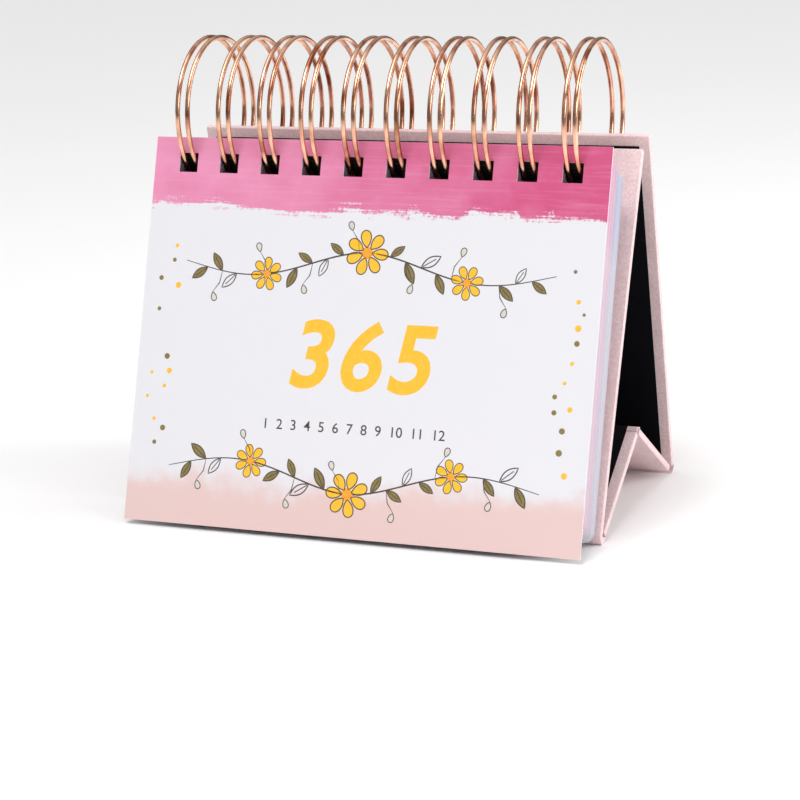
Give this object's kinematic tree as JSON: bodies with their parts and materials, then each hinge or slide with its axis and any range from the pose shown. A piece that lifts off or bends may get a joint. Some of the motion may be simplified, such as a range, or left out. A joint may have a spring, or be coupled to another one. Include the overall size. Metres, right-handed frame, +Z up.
{
  "type": "easel desk calendar",
  "caption": "Easel desk calendar: a printed cover and a thick pad of pages hang on a copper twin-loop wire at the top of a folding board stand.",
  "frame": {"origin": "middle of the footprint, on the table plane", "axes": "+X to the right for someone who faces the cover, -Y towards that person, +Z up"},
  "size_m": [0.1366, 0.0874, 0.1314],
  "materials": {
    "greyboard": "matte",
    "covering_paper": "matte",
    "lining_paper": "matte",
    "copper_wire": "satin",
    "cover_card": "satin",
    "page_paper_front": "matte",
    "page_paper_rear": "matte"
  },
  "bodies": {
    "front_panel": {"front_panel_board": "greyboard", "front_panel_wrap": "covering_paper", "front_panel_lining": "lining_paper", "front_fold_hinge": "covering_paper", "twin_loop_wire": "copper_wire"},
    "back_panel": {"back_panel_board": "greyboard", "back_panel_wrap": "covering_paper", "back_panel_lining": "lining_paper", "rear_fold_hinge": "covering_paper"},
    "base_front": {"base_front_board": "greyboard", "base_front_wrap": "covering_paper", "base_front_lining": "lining_paper", "peak_fold_hinge": "lining_paper"},
    "base_rear": {"base_rear_board": "greyboard", "base_rear_wrap": "covering_paper", "base_rear_lining": "lining_paper"},
    "front_cover": {"front_cover": "cover_card"},
    "month_01_leaves": {"month_01_leaves": "page_paper_front"},
    "month_02_leaves": {"month_02_leaves": "page_paper_front"},
    "month_03_leaves": {"month_03_leaves": "page_paper_front"},
    "month_04_leaves": {"month_04_leaves": "page_paper_front"},
    "month_05_leaves": {"month_05_leaves": "page_paper_front"},
    "month_06_leaves": {"month_06_leaves": "page_paper_front"},
    "month_07_leaves": {"month_07_leaves": "page_paper_front"},
    "month_08_leaves": {"month_08_leaves": "page_paper_rear"},
    "month_09_leaves": {"month_09_leaves": "page_paper_rear"},
    "month_10_leaves": {"month_10_leaves": "page_paper_rear"},
    "month_11_leaves": {"month_11_leaves": "page_paper_rear"},
    "month_12_leaves": {"month_12_leaves": "page_paper_rear"}
  },
  "joints": [
    {"name": "easel_fold", "type": "hinge", "parent": "front_panel", "child": "back_panel", "pos_m": [0, 0.00879, 0.10949], "axis": [1, 0, 0], "range_deg": [-24, 0]},
    {"name": "base_front_fold", "type": "hinge", "parent": "front_panel", "child": "base_front", "pos_m": [0, -0.02537, 0.00208], "axis": [1, 0, 0], "range_deg": [0, 28.8]},
    {"name": "base_rear_fold", "type": "hinge", "parent": "base_front", "child": "base_rear", "pos_m": [0, 0.00874, 0.021], "axis": [1, 0, 0], "range_deg": [-104.4, 0]},
    {"name": "cover_turn", "type": "hinge", "parent": "front_panel", "child": "front_cover", "pos_m": [0, 0.00879, 0.10949], "axis": [-1, 0, 0], "range_deg": [0, 205]},
    {"name": "month_01_turn", "type": "hinge", "parent": "front_panel", "child": "month_01_leaves", "pos_m": [0, 0.00879, 0.10949], "axis": [-1, 0, 0], "range_deg": [0, 189.24]},
    {"name": "month_02_turn", "type": "hinge", "parent": "front_panel", "child": "month_02_leaves", "pos_m": [0, 0.00879, 0.10949], "axis": [-1, 0, 0], "range_deg": [0, 173.47]},
    {"name": "month_03_turn", "type": "hinge", "parent": "front_panel", "child": "month_03_leaves", "pos_m": [0, 0.00879, 0.10949], "axis": [-1, 0, 0], "range_deg": [0, 157.7]},
    {"name": "month_04_turn", "type": "hinge", "parent": "front_panel", "child": "month_04_leaves", "pos_m": [0, 0.00879, 0.10949], "axis": [-1, 0, 0], "range_deg": [0, 141.93]},
    {"name": "month_05_turn", "type": "hinge", "parent": "front_panel", "child": "month_05_leaves", "pos_m": [0, 0.00879, 0.10949], "axis": [-1, 0, 0], "range_deg": [0, 126.16]},
    {"name": "month_06_turn", "type": "hinge", "parent": "front_panel", "child": "month_06_leaves", "pos_m": [0, 0.00879, 0.10949], "axis": [-1, 0, 0], "range_deg": [0, 110.39]},
    {"name": "month_07_turn", "type": "hinge", "parent": "front_panel", "child": "month_07_leaves", "pos_m": [0, 0.00879, 0.10949], "axis": [-1, 0, 0], "range_deg": [0, 94.63]},
    {"name": "month_08_turn", "type": "hinge", "parent": "front_panel", "child": "month_08_leaves", "pos_m": [0, 0.00879, 0.10949], "axis": [-1, 0, 0], "range_deg": [0, 78.86]},
    {"name": "month_09_turn", "type": "hinge", "parent": "front_panel", "child": "month_09_leaves", "pos_m": [0, 0.00879, 0.10949], "axis": [-1, 0, 0], "range_deg": [0, 63.09]},
    {"name": "month_10_turn", "type": "hinge", "parent": "front_panel", "child": "month_10_leaves", "pos_m": [0, 0.00879, 0.10949], "axis": [-1, 0, 0], "range_deg": [0, 47.32]},
    {"name": "month_11_turn", "type": "hinge", "parent": "front_panel", "child": "month_11_leaves", "pos_m": [0, 0.00879, 0.10949], "axis": [-1, 0, 0], "range_deg": [0, 31.55]},
    {"name": "month_12_turn", "type": "hinge", "parent": "front_panel", "child": "month_12_leaves", "pos_m": [0, 0.00879, 0.10949], "axis": [-1, 0, 0], "range_deg": [0, 15.78]}
  ],
  "couplings": [
    {"joint": "base_front_fold", "follows": "easel_fold", "ratio": -1.2},
    {"joint": "base_rear_fold", "follows": "easel_fold", "ratio": 4.35},
    {"joint": "month_01_turn", "follows": "cover_turn", "ratio": 0.92308},
    {"joint": "month_02_turn", "follows": "cover_turn", "ratio": 0.84615},
    {"joint": "month_03_turn", "follows": "cover_turn", "ratio": 0.76923},
    {"joint": "month_04_turn", "follows": "cover_turn", "ratio": 0.69231},
    {"joint": "month_05_turn", "follows": "cover_turn", "ratio": 0.61538},
    {"joint": "month_06_turn", "follows": "cover_turn", "ratio": 0.53846},
    {"joint": "month_07_turn", "follows": "cover_turn", "ratio": 0.46154},
    {"joint": "month_08_turn", "follows": "cover_turn", "ratio": 0.38461},
    {"joint": "month_09_turn", "follows": "cover_turn", "ratio": 0.30769},
    {"joint": "month_10_turn", "follows": "cover_turn", "ratio": 0.23077},
    {"joint": "month_11_turn", "follows": "cover_turn", "ratio": 0.15385},
    {"joint": "month_12_turn", "follows": "cover_turn", "ratio": 0.076923}
  ]
}
